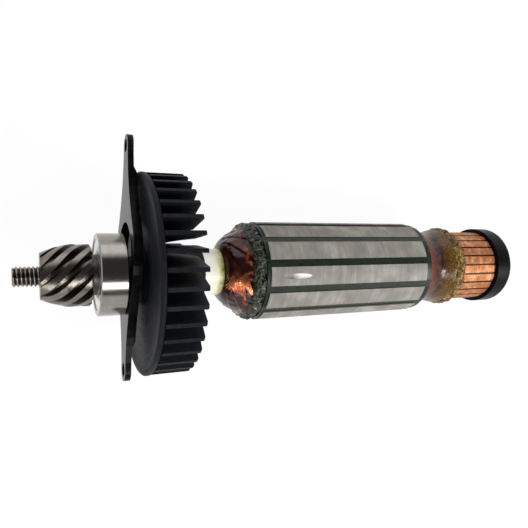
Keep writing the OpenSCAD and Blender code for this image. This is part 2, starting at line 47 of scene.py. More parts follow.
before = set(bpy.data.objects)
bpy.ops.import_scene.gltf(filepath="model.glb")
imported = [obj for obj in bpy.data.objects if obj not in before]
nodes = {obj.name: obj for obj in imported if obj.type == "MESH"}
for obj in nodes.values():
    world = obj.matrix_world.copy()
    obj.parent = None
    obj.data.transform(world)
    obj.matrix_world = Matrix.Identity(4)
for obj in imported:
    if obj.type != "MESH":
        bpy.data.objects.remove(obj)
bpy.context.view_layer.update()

MM = 0.001
SLOTS = 12              # slots of the core, and coils of the winding
BARS = 24               # bars of the commutator
SLOT_PHASE = 21.4       # degrees to the middle of the first slot
BAR_PHASE = 13.8        # degrees to the gap before the first bar
CORE_R = 21.0           # mm, radius of the core
BAR_R = 17.0            # mm, radius of the bars
PINION_LEAD = 65        # mm of travel in one full turn of a tooth
THREAD_PITCH = 1.43     # mm, of the stud
THREAD_DEPTH = 0.72     # mm
STUD_ROUND = 0.9        # mm, rounding of the stud's tip
CUT_Y = -2.34           # mm, middle line of the balancing cut
CUT_HALF = 1.25         # mm, half its width


def span(node):
    """Lowest and highest X of a CAD node, in millimetres."""
    low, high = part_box(node)
    return low.x * 1000, high.x * 1000


def reach(node):
    """Largest distance of a CAD node from the shaft axis, in millimetres."""
    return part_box(node)[1].z * 1000


# ---------------------------------------------------------------- materials

class Nodes:
    """A material's node tree with short calls for the nodes used here.

    mm is the position in the model's frame in millimetres, x, y and z its parts, r the
    distance from the shaft axis and angle the angle round it in radians.
    """

    def __init__(self, name):
        self.mat = bpy.data.materials.new(name)
        self.mat.use_nodes = True
        self.tree = self.mat.node_tree
        self.shader = self.tree.nodes["Principled BSDF"]
        self.out = self.tree.nodes["Material Output"]
        coord = self.tree.nodes.new("ShaderNodeTexCoord")
        scale = self.new("ShaderNodeVectorMath", operation="SCALE")
        scale.inputs["Scale"].default_value = 1000
        self.link(coord.outputs["Object"], scale.inputs[0])
        self.mm = scale.outputs[0]
        split = self.new("ShaderNodeSeparateXYZ")
        self.link(self.mm, split.inputs[0])
        self.x, self.y, self.z = split.outputs
        yy = self.math("MULTIPLY", self.y, self.y)
        zz = self.math("MULTIPLY", self.z, self.z)
        self.r = self.math("SQRT", self.math("ADD", yy, zz))
        self.angle = self.math("ARCTAN2", self.z, self.y)

    def new(self, kind, **props):
        node = self.tree.nodes.new(kind)
        for key, value in props.items():
            setattr(node, key, value)
        return node

    def link(self, a, b):
        self.tree.links.new(a, b)

    def put(self, socket, value):
        if isinstance(value, bpy.types.NodeSocket):
            self.link(value, socket)
        else:
            socket.default_value = value

    def math(self, op, a, b=None, c=None, clamp=False):
        node = self.new("ShaderNodeMath", operation=op, use_clamp=clamp)
        for socket, value in zip(node.inputs, (a, b, c)):
            if value is not None:
                self.put(socket, value)
        return node.outputs[0]

    def vec(self, x=0.0, y=0.0, z=0.0):
        node = self.new("ShaderNodeCombineXYZ")
        for socket, value in zip(node.inputs, (x, y, z)):
            self.put(socket, value)
        return node.outputs[0]

    def times(self, socket, k):
        return self.math("MULTIPLY", socket, k)

    def noise(self, vector, scale=1.0, detail=3.0, rough=0.5):
        node = self.new("ShaderNodeTexNoise")
        self.link(vector, node.inputs["Vector"])
        node.inputs["Scale"].default_value = scale
        node.inputs["Detail"].default_value = detail
        node.inputs["Roughness"].default_value = rough
        return node.outputs["Fac"]

    def blend(self, a, b, share):
        """share of value a and the rest of value b."""
        return self.math("ADD", self.times(a, share), self.times(b, 1 - share))

    def ramp(self, value, stops):
        """Colours between the given (position, colour) stops."""
        node = self.new("ShaderNodeValToRGB")
        self.put(node.inputs[0], value)
        elements = node.color_ramp.elements
        while len(elements) < len(stops):
            elements.new(0.5)
        for element, (at, colour) in zip(elements, stops):
            element.position = at
            element.color = (*colour, 1)
        return node.outputs[0]

    def remap(self, value, low, high, to_low=0.0, to_high=1.0):
        node = self.new("ShaderNodeMapRange")
        self.put(node.inputs[0], value)
        for i, v in enumerate((low, high, to_low, to_high), 1):
            node.inputs[i].default_value = v
        return node.outputs[0]

    def mix(self, fac, a, b):
        """Colour a where fac is 0 and colour b where it is 1."""
        node = self.new("ShaderNodeMix", data_type="RGBA")
        self.put(node.inputs[0], fac)
        for socket, value in ((node.inputs[6], a), (node.inputs[7], b)):
            self.put(socket, value if isinstance(value, bpy.types.NodeSocket)
                     else (*value, 1))
        return node.outputs[2]

    def bump(self, height, distance, strength):
        """Surface relief, distance in millimetres."""
        node = self.new("ShaderNodeBump")
        node.inputs["Strength"].default_value = strength
        node.inputs["Distance"].default_value = distance * MM
        self.put(node.inputs["Height"], height)
        self.link(node.outputs[0], self.shader.inputs["Normal"])

    def finish(self, colour, rough, metallic=0.0, coat=0.0, coat_rough=0.05, level=0.5):
        self.link(colour, self.shader.inputs["Base Color"])
        self.put(self.shader.inputs["Roughness"], rough)
        self.put(self.shader.inputs["Metallic"], metallic)
        self.shader.inputs["Coat Weight"].default_value = coat
        self.shader.inputs["Coat Roughness"].default_value = coat_rough
        self.shader.inputs["Specular IOR Level"].default_value = level
        return self.mat


def turned_metal(name, dark, light, rough, grain, stain=None):
    """Turned or ground metal: fine rings round the axis under soft blotches."""
    n = Nodes(name)
    rings = n.noise(n.vec(n.times(n.x, grain), n.times(n.r, grain),
                          n.times(n.angle, 0.6)), 1.0, 4, 0.7)
    blotch = n.noise(n.mm, 0.35, 4, 0.6)
    fine = n.noise(n.mm, 9.0, 2, 0.5)
    fac = n.blend(rings, blotch, 0.55)
    colour = n.ramp(fac, [(0.3, dark), (0.7, light)])
    if stain:
        colour = n.mix(n.remap(blotch, 0.5, 0.7, 0, 0.8), colour, stain)
    roughness = n.remap(fac, 0.3, 0.7, rough * 1.3, rough * 0.75)
    n.bump(n.math("ADD", rings, n.times(fine, 0.3)), 0.005, 0.35)
    return n.finish(colour, roughness, 1.0)


def dress(material, *names):
    """Give CAD nodes a material."""
    for name in names:
        slots = nodes[name].data.materials
        slots.clear()
        slots.append(material)


def shield_material():
    """Pressed bright steel with faint rings."""
    n = Nodes("shield_steel")
    rings = n.noise(n.vec(n.times(n.r, 3), n.times(n.x, 2), n.times(n.angle, 0.5)))
    colour = n.ramp(rings, [(0.3, (0.66, 0.66, 0.65)), (0.7, (0.88, 0.88, 0.87))])
    n.bump(rings, 0.02, 0.4)
    return n.finish(colour, n.remap(rings, 0.3, 0.7, 0.36, 0.24), 0.9)


def plastic(name, dark, light, rough, grain=3.0, bump=0.02, level=0.5):
    """Moulded plastic, rubber or varnish: a fine grain over a slow drift of colour."""
    n = Nodes(name)
    fine = n.noise(n.mm, grain, 4, 0.6)
    slow = n.noise(n.mm, 0.4, 3, 0.5)
    fac = n.blend(fine, slow, 0.35)
    colour = n.ramp(fac, [(0.3, dark), (0.7, light)])
    n.bump(fine, bump, 0.6)
    return n.finish(colour, n.remap(fac, 0.3, 0.7, rough * 1.15, rough * 0.85),
                    level=level)


def pinion_material():
    """Hardened steel, brushed along the teeth, with painted shade: darker and browner in
    the gaps.
    """
    n = Nodes("pinion_steel")
    lay = n.math("ADD", n.angle, n.times(n.x, 2 * math.pi / PINION_LEAD))
    brush = n.noise(n.vec(n.times(lay, 60), n.times(n.x, 0.5), n.times(n.r, 6)),
                    1.0, 4, 0.6)
    blotch = n.noise(n.mm, 0.35, 4, 0.6)
    fac = n.blend(brush, blotch, 0.7)
    land = n.ramp(fac, [(0.36, (0.13, 0.115, 0.10)), (0.64, (0.26, 0.24, 0.215))])
    # Painted shade: the gaps between the teeth take a darker brown, by radius.
    out_of_gap_shade = n.remap(n.r, 8.2, 9.8)
    colour = n.mix(out_of_gap_shade, (0.15, 0.125, 0.105), land)
    n.bump(brush, 0.012, 0.4)
    return n.finish(colour, n.remap(fac, 0.34, 0.66, 0.30, 0.22), 1.0)


def retainer_material():
    """Black gloss finish on pressed steel, a little uneven."""
    n = Nodes("plate_black")
    fine = n.noise(n.mm, 2.5, 4, 0.65)
    slow = n.noise(n.mm, 0.25, 3, 0.5)
    colour = n.ramp(slow, [(0.35, (0.003, 0.003, 0.003)),
                           (0.7, (0.008, 0.008, 0.0085))])
    n.bump(slow, 0.05, 0.4)
    return n.finish(colour, n.remap(fine, 0.3, 0.7, 0.24, 0.15), level=0.07)


def fan_material():
    """Blue-black moulded plastic with flow marks out along the blades."""
    n = Nodes("fan_plastic")
    fine = n.noise(n.mm, 3.0, 4, 0.6)
    flow = n.noise(n.vec(n.times(n.r, 0.9), n.times(n.angle, 2.5), n.times(n.x, 0.5)),
                   1.0, 3, 0.55)
    fac = n.blend(fine, flow, 0.3)
    colour = n.ramp(fac, [(0.32, (0.004, 0.0045, 0.006)),
                          (0.68, (0.010, 0.011, 0.0145))])
    n.bump(fine, 0.02, 0.5)
    return n.finish(colour, n.remap(fac, 0.3, 0.7, 0.58, 0.46), level=0.1)


def core_material():
    """Stacked sheets, warm grey with lines across the shaft; the fresh cut is paler steel,
    and a painted highlight makes only its half towards the commutator near white.
    """
    n = Nodes("core_steel")
    x0 = span("lamination_core")[0]
    sheets = n.noise(n.vec(n.times(n.x, 4.0), n.times(n.angle, 0.25)), 1.0, 2, 0.5)
    streak = n.noise(n.vec(n.times(n.x, 0.55), n.times(n.angle, 1.2), n.times(n.r, 0.2)),
                     1.0, 4, 0.6)
    blotch = n.noise(n.mm, 0.12, 3, 0.5)
    fac = n.math("ADD", n.times(sheets, 0.18),
                 n.math("ADD", n.times(streak, 0.30), n.times(blotch, 0.52)))
    colour = n.ramp(fac, [(0.38, (0.185, 0.173, 0.154)), (0.51, (0.24, 0.226, 0.202)),
                          (0.63, (0.33, 0.314, 0.284))])
    # Painted highlight: the balancing cut is fresh, paler steel, but this mask keeps its
    # near-white colour to the half towards the commutator, where a glint would fall.
    across = n.math("ABSOLUTE", n.math("SUBTRACT", n.y, CUT_Y))
    fresh_cut_and_glint = n.remap(n.r, CORE_R - 0.05, CORE_R - 0.25)
    for limit in (n.remap(n.r, CORE_R - 1.0, CORE_R - 0.8),
                  n.remap(across, CUT_HALF + 0.2, CUT_HALF),
                  n.remap(n.z, 0.0, 1.0),
                  n.remap(n.x, x0 + 9.5, x0 + 13.0)):
        fresh_cut_and_glint = n.math("MULTIPLY", fresh_cut_and_glint, limit)
    colour = n.mix(fresh_cut_and_glint, colour, (0.85, 0.83, 0.79))
    n.bump(sheets, 0.02, 0.5)
    rough = n.remap(fac, 0.35, 0.65, 0.72, 0.60)
    rough = n.math("SUBTRACT", rough, n.times(fresh_cut_and_glint, 0.32))
    return n.finish(colour, rough, 0.15, level=0.3)


def sleeve_material():
    """Cream moulded tube, stained yellow by the varnish where it meets the windings."""
    n = Nodes("sleeve_plastic")
    head = span("winding_head_front")[0]
    soft = n.noise(n.mm, 0.5, 3, 0.5)
    near = n.remap(n.math("ADD", n.x, n.times(soft, 3.0)), head - 3.5, head + 1.6)
    colour = n.ramp(near, [(0.0, (0.88, 0.87, 0.77)), (0.45, (0.85, 0.82, 0.62)),
                           (0.8, (0.58, 0.55, 0.20)), (1.0, (0.24, 0.15, 0.03))])
    n.bump(soft, 0.05, 0.3)
    return n.finish(colour, n.remap(soft, 0.3, 0.7, 0.38, 0.3), 0.0, 0.4, 0.1)


def green_board(name, dark, light, rough=0.4):
    """Varnished insulating board, mottled green."""
    n = Nodes(name)
    fibre = n.noise(n.vec(n.times(n.x, 0.5), n.times(n.y, 2.2), n.times(n.z, 2.2)),
                    1.0, 5, 0.65)
    blotch = n.noise(n.mm, 0.6, 3, 0.6)
    fac = n.blend(fibre, blotch, 0.5)
    colour = n.ramp(fac, [(0.34, dark), (0.66, light)])
    n.bump(fibre, 0.06, 0.6)
    return n.finish(colour, n.remap(fac, 0.3, 0.7, rough * 1.2, rough * 0.8),
                    level=0.22)


def bar_material():
    """Turned copper: fine rings from the lathe, dark in and beside the gaps."""
    n = Nodes("bar_copper")
    top = reach("commutator_bars")
    rings = n.noise(n.vec(n.times(n.x, 5.0), n.times(n.r, 5.0), n.times(n.angle, 0.4)),
                    1.0, 3, 0.6)
    blotch = n.noise(n.mm, 0.35, 3, 0.55)
    fac = n.blend(rings, blotch, 0.45)
    face = n.ramp(fac, [(0.36, (0.26, 0.085, 0.025)), (0.5, (0.36, 0.135, 0.045)),
                        (0.62, (0.62, 0.32, 0.17))])
    colour = n.mix(n.remap(n.r, top - 1.2, top - 0.3), (0.07, 0.012, 0.005), face)
    turn = n.math("MULTIPLY_ADD", n.angle, BARS / (2 * math.pi), -BAR_PHASE * BARS / 360)
    side = n.math("ABSOLUTE", n.math("SUBTRACT", turn, n.math("ROUND", turn)))
    colour = n.mix(n.remap(side, 0.115, 0.08), colour, (0.10, 0.026, 0.012))
    n.bump(rings, 0.012, 0.5)
    return n.finish(colour, n.remap(fac, 0.3, 0.7, 0.60, 0.48), 0.5, level=0.3)


bearing_steel = turned_metal("bearing_steel", (0.25, 0.235, 0.215), (0.32, 0.305, 0.28),
                             0.17, 3.0)
race_steel = turned_metal("race_steel", (0.30, 0.28, 0.26), (0.55, 0.53, 0.50), 0.3, 5.0)
shaft_steel = turned_metal("shaft_steel", (0.20, 0.18, 0.17), (0.38, 0.36, 0.33),
                           0.35, 4.0, (0.16, 0.11, 0.08))
spacer_steel = turned_metal("spacer_steel", (0.05, 0.045, 0.04), (0.14, 0.13, 0.12),
                            0.4, 4.0)
ball_steel = turned_metal("ball_steel", (0.6, 0.6, 0.6), (0.8, 0.8, 0.8), 0.12, 1.0)

dress(bearing_steel, "front_bearing_outer_ring", "rear_bearing_outer_ring")
dress(race_steel, "front_bearing_inner_ring", "rear_bearing_inner_ring")
dress(ball_steel, "front_bearing_balls", "rear_bearing_balls")
dress(shaft_steel, "shaft")
dress(spacer_steel, "pinion_washer", "shaft_spacer", "rear_spacer")
dress(shield_material(), "front_bearing_shield_front", "front_bearing_shield_rear",
      "rear_bearing_shield_front", "rear_bearing_shield_rear")
dress(plastic("cage_plastic", (0.40, 0.30, 0.18), (0.60, 0.47, 0.30), 0.5),
      "front_bearing_cage", "rear_bearing_cage")
dress(plastic("rubber_black", (0.002, 0.002, 0.0022), (0.004, 0.004, 0.0045), 0.34,
              2.0, 0.03, level=0.06), "rear_bearing_sleeve")
dress(plastic("hub_moulding", (0.015, 0.008, 0.005), (0.05, 0.03, 0.02), 0.5),
      "commutator_hub")
dress(pinion_material(), "pinion")
dress(retainer_material(), "bearing_retainer")
dress(fan_material(), "fan")
dress(core_material(), "lamination_core")
dress(sleeve_material(), "insulating_sleeve")
dress(green_board("fibre_green", (0.002, 0.005, 0.003), (0.012, 0.020, 0.012)),
      "fibre_ring_front", "fibre_ring_rear")
dress(green_board("wedge_green", (0.0015, 0.005, 0.003), (0.022, 0.036, 0.020), 0.3),
      "slot_wedges")
dress(green_board("liner_green", (0.012, 0.019, 0.012), (0.075, 0.095, 0.06), 0.35),
      "slot_liners")
dress(bar_material(), "commutator_bars")
dress(plastic("coil_varnish", (0.02, 0.008, 0.006), (0.07, 0.02, 0.014), 0.3),
      "slot_coils")


# ---------------------------------------------------------------- mesh pieces

def polar(x, r, a):
    """A point at x along the shaft, r from its axis and a degrees round it, in metres."""
    a = np.radians(a)
    return np.stack([x + 0 * a, r * np.cos(a), r * np.sin(a)], -1) * MM


def piece(name, points, faces, material, body):
    """A smooth mesh with one material, that rides on a body."""
    mesh = bpy.data.meshes.new(name)
    mesh.from_pydata([tuple(p) for p in points], [], faces)
    mesh.materials.append(material)
    mesh.update()
    mesh.shade_smooth()
    obj = bpy.data.objects.new(name, mesh)
    bpy.context.scene.collection.objects.link(obj)
    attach(obj, body)
    return obj


def grid_faces(rows, cols, flip=False):
    """Quads between rows rings of cols points each."""
    faces = []
    for i in range(rows - 1):
        for j in range(cols):
            a = i * cols + j
            b = i * cols + (j + 1) % cols
            c, d = b + cols, a + cols
            faces.append((a, b, c, d) if not flip else (d, c, b, a))
    return faces


def tube_along(path, radius, sides=6):
    """Points and faces of a closed tube round a path of points in metres."""
    count = len(path)
    tangent = np.gradient(path, axis=0)
    tangent /= np.linalg.norm(tangent, axis=1)[:, None]
    radial = path * np.array([0, 1, 1])
    radial /= np.linalg.norm(radial, axis=1)[:, None] + 1e-12
    side = np.cross(tangent, radial)
    side /= np.linalg.norm(side, axis=1)[:, None] + 1e-12
    out = np.cross(side, tangent)
    t = np.arange(sides) * 2 * math.pi / sides
    ring = (np.cos(t)[None, :, None] * side[:, None, :]
            + np.sin(t)[None, :, None] * out[:, None, :])
    points = (path[:, None, :] + ring * radius).reshape(-1, 3)
    faces = grid_faces(count, sides, flip=True)
    faces.append(tuple(range(sides)))
    faces.append(tuple(reversed(range((count - 1) * sides, count * sides))))
    return points, faces


def joined(parts):
    """Points and faces of several parts as one mesh."""
    points, faces, at = [], [], 0
    for p, f in parts:
        points.append(p)
        faces += [tuple(i + at for i in face) for face in f]
        at += len(p)
    return np.concatenate(points), faces


def threaded_stud():
    """The shaft's threaded end, as one helical sweep with a rounded tip."""
    x0, x1 = span("shaft_stud")
    crest = reach("shaft_stud")
    cols, rows_per_turn = 40, 14
    rows = int((x1 - x0) / THREAD_PITCH * rows_per_turn)
    points = []
    for x in np.linspace(0, x1 - x0, rows + 1):
        a = np.arange(cols) * 2 * math.pi / cols
        phase = (x / THREAD_PITCH - a / (2 * math.pi)) % 1
        tooth = np.clip((np.abs(phase * 2 - 1) - 0.08) / 0.84, 0, 1)
        r = crest - THREAD_DEPTH + THREAD_DEPTH * tooth
        inset = max(0, 1 - x / STUD_ROUND)
        limit = crest - STUD_ROUND + STUD_ROUND * math.sqrt(max(0, 1 - inset ** 2))
        r = np.minimum(r, limit)
        points.append(np.stack([x0 + x + 0 * a, r * np.cos(a), r * np.sin(a)], -1))
    points = np.concatenate(points) * MM
    faces = grid_faces(rows + 1, cols)
    faces.append(tuple(reversed(range(cols))))
    faces.append(tuple(range(rows * cols, (rows + 1) * cols)))
    n = Nodes("stud_steel")
    blotch = n.noise(n.mm, 1.2, 4, 0.6)
    # Near black in the thread roots and lighter on the crests, by radius.
    high = n.remap(n.r, crest - THREAD_DEPTH, crest - 0.05)
    crest_tone = n.ramp(blotch, [(0.35, (0.20, 0.165, 0.14)), (0.65, (0.50, 0.46, 0.42))])
    colour = n.mix(high, (0.03, 0.022, 0.018), crest_tone)
    n.bump(n.noise(n.mm, 6, 3, 0.5), 0.02, 0.4)
    mat = n.finish(colour, n.remap(blotch, 0.3, 0.7, 0.34, 0.24), 1.0)
    stud = piece("stud_thread", points, faces, mat, "rotor")
    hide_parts("shaft_stud")


def profile(points):
    """Radius at x between (x, radius) points, in millimetres."""
    xs, rs = zip(*points)

    def at(x):
        return np.interp(x, xs, rs)
    return at


def lumps(x, y, z, size, seed=0.0, octaves=3):
    """Fractal noise, about -1 to 1, at a point in millimetres."""
    point = Vector((x / size + seed, y / size, z / size))
    return noise.fractal(point, 0.6, 2.0, octaves)


def shell(rows, cols, place):
    """A ring surface: place gives x and radius for u from 0 to 1 along its section."""
    points = np.empty((rows, cols, 3))
    for j in range(cols):
        a = 2 * math.pi * j / cols
        ca, sa = math.cos(a), math.sin(a)
        for i in range(rows):
            x, r = place(i / (rows - 1), a, ca, sa)
            points[i, j] = (x, r * ca, r * sa)
    return points.reshape(-1, 3) * MM, grid_faces(rows, cols, flip=True)


def wire_material():
    """Enamelled copper wire, bright orange, with a thin coat of varnish."""
    n = Nodes("wire_varnish")
    slow = n.noise(n.mm, 0.30, 3, 0.55)
    fine = n.noise(n.mm, 2.2, 3, 0.6)
    fac = n.blend(slow, fine, 0.75)
    colour = n.ramp(fac, [(0.34, (0.42, 0.09, 0.04)), (0.5, (0.72, 0.22, 0.09)),
                          (0.64, (0.90, 0.46, 0.24))])
    return n.finish(colour, n.remap(fac, 0.3, 0.7, 0.34, 0.22), 0.85, 0.3, 0.06)


def varnish_material():
    """Thick brown-black varnish, maroon where the copper shows through it."""
    n = Nodes("winding_varnish")
    slow = n.noise(n.mm, 0.25, 3, 0.55)
    fine = n.noise(n.mm, 1.4, 3, 0.6)
    colour = n.ramp(slow, [(0.34, (0.012, 0.003, 0.002)), (0.52, (0.032, 0.006, 0.004)),
                           (0.68, (0.080, 0.016, 0.011))])
    spot = n.noise(n.mm, 0.42, 2, 0.4)
    edge = span("winding_head_front")[1] - 6.0
    near = n.math("MULTIPLY", n.remap(n.x, edge - 2.5, edge),
                  n.remap(spot, 0.54, 0.60))
    colour = n.mix(near, colour, (0.36, 0.045, 0.018))
    n.bump(fine, 0.03, 0.3)
    return n.finish(colour, n.remap(slow, 0.3, 0.7, 0.34, 0.24), 0.1, 0.35, 0.06, 0.2)


TURN = 150.0                # degrees that each coil spans
BOW = 1.75                  # how sharply the coils turn back at the nose
BARE = (112, 214, 306)      # degrees at which strands lie bare
BARE_WIDTH = 15             # degrees


def bareness(a):
    """1 where a bundle of strands lies bare, 0 where the varnish covers them."""
    near = [np.exp(-(((a - at + 180) % 360 - 180) / BARE_WIDTH) ** 2) for at in BARE]
    return np.clip(1.3 * sum(near), 0, 1)


def front_dome():
    """Profile of the front winding head."""
    x0, x1 = span("winding_head_front")
    return profile([(x0 + 0.5, 9.9), (x0 + 1.2, 11.8), (x0 + 2.0, 13.0), (x0 + 2.9, 13.9),
                    (x0 + 4.2, 14.85), (x0 + 5.5, 15.65), (x0 + 6.8, 16.5),
                    (x0 + 8.2, 17.4), (x0 + 9.5, 18.4), (x1 + 1, 18.9)])


def front_varnish():
    """The varnished mass of the coils, in twelve overlapping petals."""
    x0, x1 = span("winding_head_front")
    sleeve_r = reach("insulating_sleeve")
    dome = front_dome()
    cols, rows = 480, 56
    x0 += 0.45
    xs = np.concatenate([[x0 - 0.15], np.linspace(x0, x1, rows)])
    points = []
    a = np.arange(cols) * 360 / cols
    ca, sa = np.cos(np.radians(a)), np.sin(np.radians(a))
    for x in xs:
        if x < x0:
            points.append(polar(x, np.full(cols, sleeve_r + 0.05), a))
            continue
        u = np.clip((x - x0 - 1.5) / (x1 - x0 - 1.5), 0, 1) ** (1 / BOW)
        phase = ((a - TURN / 2 * u - SLOT_PHASE) * SLOTS / 360) % 1
        petal = phase - np.clip((phase - 0.86) / 0.14, 0, 1)
        wave = np.array([lumps(x, 15 * c, 15 * q, 5.0) for c, q in zip(ca, sa)])
        grow = min(1, (x - x0) / 2.5)
        relief = 0.55 * petal - 0.15 - 0.6 * bareness(a) + 0.3 * wave
        r = dome(x) + 0.05 + grow * relief
        points.append(polar(x, np.maximum(r, sleeve_r + 0.1), a))
    faces = grid_faces(len(xs), cols, flip=True)
    obj = piece("winding_front_varnish", np.concatenate(points), faces,
                varnish_material(), "rotor")
    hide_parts("winding_head_front")


def front_wires():
    """Strands of the twelve coils, each coil passing over the one before it."""
    x0, x1 = span("winding_head_front")
    core_r = reach("lamination_core")
    dome = front_dome()
    parts = []
    strands, wire_r = 18, 0.21
    for coil in range(SLOTS):
        start = SLOT_PHASE + 360 / SLOTS * coil - TURN
        for j in range(strands):
            f = j / (strands - 1)
            t = np.linspace(0.36, 1, 40)
            bow = np.abs(2 * t - 1) ** (BOW + 0.2 * f)
            nose = x0 + 0.9 + 5.2 * f + 0.2 * math.sin(coil * 1.7 + j * 2.1)
            x = nose + (x1 - 0.1 - nose) * bow
            a = start + TURN * t + (f - 0.5) * 8.0 * bow + 0.5 * math.sin(j * 2.3 + coil)
            layer = 0.05 * math.sin(j * 2.7 + coil) + 0.10 * (j % 2)
            r = dome(x) - 0.95 + layer + 0.75 * bareness(a) + 0.7 * (t - 0.5)
            r = np.minimum(r, core_r - 0.5)
            parts.append(tube_along(polar(x, r, a), wire_r * MM))
    points, faces = joined(parts)
    piece("winding_front_wires", points, faces, wire_material(), "rotor")


def cuff_material():
    """Crumpled dark-green insulation soaked in varnish, with wet glints."""
    n = Nodes("cuff_green")
    fine = n.noise(n.mm, 1.5, 4, 0.65)
    slow = n.noise(n.mm, 0.45, 3, 0.6)
    fac = n.blend(fine, slow, 0.5)
    colour = n.ramp(fac, [(0.38, (0.001, 0.0025, 0.0012)),
                          (0.54, (0.014, 0.020, 0.009)), (0.66, (0.16, 0.15, 0.075))])
    n.bump(fine, 0.25, 1.0)
    return n.finish(colour, 0.34, 0.0, 0.5, 0.04, 0.15)


def slot_insulation(cuff):
    """Folded slot insulation beside the core: a crumpled dark-green ring."""
    x0, x1 = span("slot_cuffs")[0], span("fibre_ring_front")[1] - 0.25
    top = reach("slot_cuffs")
    inner = 17.6

    def place(u, a, ca, sa):
        hump = math.sin(u * math.pi) ** 0.42
        x = x1 - (x1 - x0) * u
        slot = math.cos((math.degrees(a) - SLOT_PHASE) * math.pi / 15)
        fold = 1 - abs(lumps(x, 20 * ca, 20 * sa, 2.6, 3.0, 2)) * 2.2
        wob = lumps(x, 20 * ca, 20 * sa, 1.3, 9.0)
        r = inner + (top - 0.75 - inner) * hump
        r += hump * (0.25 * slot + 0.55 * fold - 0.3 + 0.45 * wob)
        x += 0.5 * hump * lumps(20 * ca, x, 20 * sa, 1.8, 5.0)
        return min(max(x, x0 - 0.3), x1), min(r, top + 0.2)

    points, faces = shell(34, 840, place)
    obj = piece("slot_cuff_folds", points, faces, cuff, "rotor")
    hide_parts("slot_cuffs")


def rear_insulation(cuff):
    """The same folded insulation, narrower, at the commutator end of the core."""
    x0, x1 = span("fibre_ring_rear")
    top = reach("lamination_core") - 0.1
    inner = 17.9

    def place(u, a, ca, sa):
        hump = math.sin(u * math.pi) ** 0.4
        x = x0 + 0.25 + (x1 + 1.3 - x0) * (1 - u)
        fold = 1 - abs(lumps(x, 20 * ca, 20 * sa, 2.2, 13.0, 2)) * 2.2
        wob = lumps(x, 20 * ca, 20 * sa, 1.2, 17.0)
        slope = max(0, x - x1)
        r = inner + (top - 0.75 - inner) * hump
        r += hump * (0.5 * fold - 0.25 + 0.4 * wob - slope)
        x += 0.4 * hump * lumps(20 * ca, x, 20 * sa, 1.6, 15.0)
        return max(x, x0 + 0.2), min(r, top)

    points, faces = shell(26, 840, place)
    piece("rear_insulation_folds", points, faces, cuff, "rotor")


def rear_winding():
    """Smooth glossy waist of the coils behind the core, faint strands under varnish."""
    x0, x1 = span("winding_head_rear")
    waist = profile([(x0, 18.4), (x0 + 1.6, 18.5), (x0 + 4, 18.0), (x0 + 6.6, 17.3),
                     (x0 + 9, 16.95), (x0 + 11, 17.0), (x0 + 13, 17.3), (x1, 18.2)])

    def place(u, a, ca, sa):
        x = x0 + (x1 - x0 + 0.4) * u
        twist = math.degrees(a) + 3.5 * (x - x0)
        strand = math.cos(math.radians(twist) * 40)
        fade = 0.5 + 0.9 * lumps(x, 17 * ca, 17 * sa, 7.0, 2.0, 2)
        r = waist(x) + 0.035 * strand * min(max(fade, 0), 1)
        r += 0.14 * lumps(x, 17 * ca, 17 * sa, 7.0, 4.0, 2)
        return x, r

    points, faces = shell(48, 720, place)
    n = Nodes("rear_varnish")
    slow = n.noise(n.mm, 0.28, 3, 0.6)
    fine = n.noise(n.mm, 1.5, 3, 0.6)
    base = n.ramp(slow, [(0.36, (0.016, 0.004, 0.002)), (0.5, (0.040, 0.011, 0.005)),
                         (0.64, (0.085, 0.030, 0.015))])
    warm = n.remap(n.math("ADD", n.x, n.times(slow, 6.0)), x0 + 8.5, x0 + 4.5, 0, 0.8)
    colour = n.mix(n.math("MULTIPLY", warm, n.remap(fine, 0.35, 0.6)), base,
                   (0.26, 0.05, 0.02))
    gold = n.remap(n.math("ADD", n.x, n.times(slow, 5.0)), x1 - 4.5, x1)
    amber = n.ramp(fine, [(0.36, (0.035, 0.016, 0.002)), (0.62, (0.15, 0.082, 0.015))])
    colour = n.mix(gold, colour, amber)
    mat = n.finish(colour, 0.35, 0.1, 0.25, 0.16, 0.1)
    obj = piece("winding_rear_varnish", points, faces, mat, "rotor")
    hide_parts("winding_head_rear")


def riser_beads():
    """Lumpy golden resin over the joints of wires and bars."""
    x0, x1 = span("riser_resin")
    top = reach("riser_resin")
    us, hs = zip((0.0, -0.9), (0.10, 0.1), (0.22, 0.9), (0.36, 1.5), (0.52, 1.9),
                 (0.66, 1.95), (0.78, 1.6), (0.90, 0.9), (1.0, -0.4))

    def place(u, a, ca, sa):
        x = x0 - 0.8 + (x1 - x0 + 0.8) * u
        turn = (math.degrees(a) - BAR_PHASE) * BARS / 360
        bead = 0.5 - 0.5 * math.cos(turn * 2 * math.pi)
        weight = math.exp(-((u - 0.78) / 0.18) ** 2)
        r = top - 2.1 + float(np.interp(u, us, hs)) + weight * (0.65 * bead - 0.42)
        body = min(1.0, max(0.0, math.sin(math.pi * u)) * 2.2)
        fold = 1 - abs(lumps(x, 19 * ca, 19 * sa, 2.4, 7.0, 2)) * 2.4
        r += body * (0.36 * fold - 0.15 + 0.34 * lumps(x, 19 * ca, 19 * sa, 1.4, 1.0))
        x += body * 0.35 * lumps(19 * ca, x, 19 * sa, 1.7, 8.0)
        return min(x, x1 + 0.5 * bead * weight), min(max(r, BAR_R + 0.03), top + 0.2)

    points, faces = shell(40, 960, place)
    n = Nodes("resin_gold")
    slow = n.noise(n.mm, 0.42, 3, 0.6)
    fine = n.noise(n.mm, 1.7, 4, 0.6)
    fac = n.blend(slow, fine, 0.5)
    colour = n.ramp(fac, [(0.38, (0.022, 0.010, 0.001)), (0.5, (0.12, 0.060, 0.009)),
                          (0.62, (0.40, 0.24, 0.06))])
    n.bump(fine, 0.10, 0.6)
    mat = n.finish(colour, 0.4, 0.0, 0.22, 0.1, 0.15)
    obj = piece("riser_resin_beads", points, faces, mat, "rotor")
    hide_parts("riser_resin")


threaded_stud()
front_varnish()
front_wires()
cuff_green = cuff_material()
slot_insulation(cuff_green)
rear_insulation(cuff_green)
rear_winding()
riser_beads()


# ---------------------------------------------------------------- camera

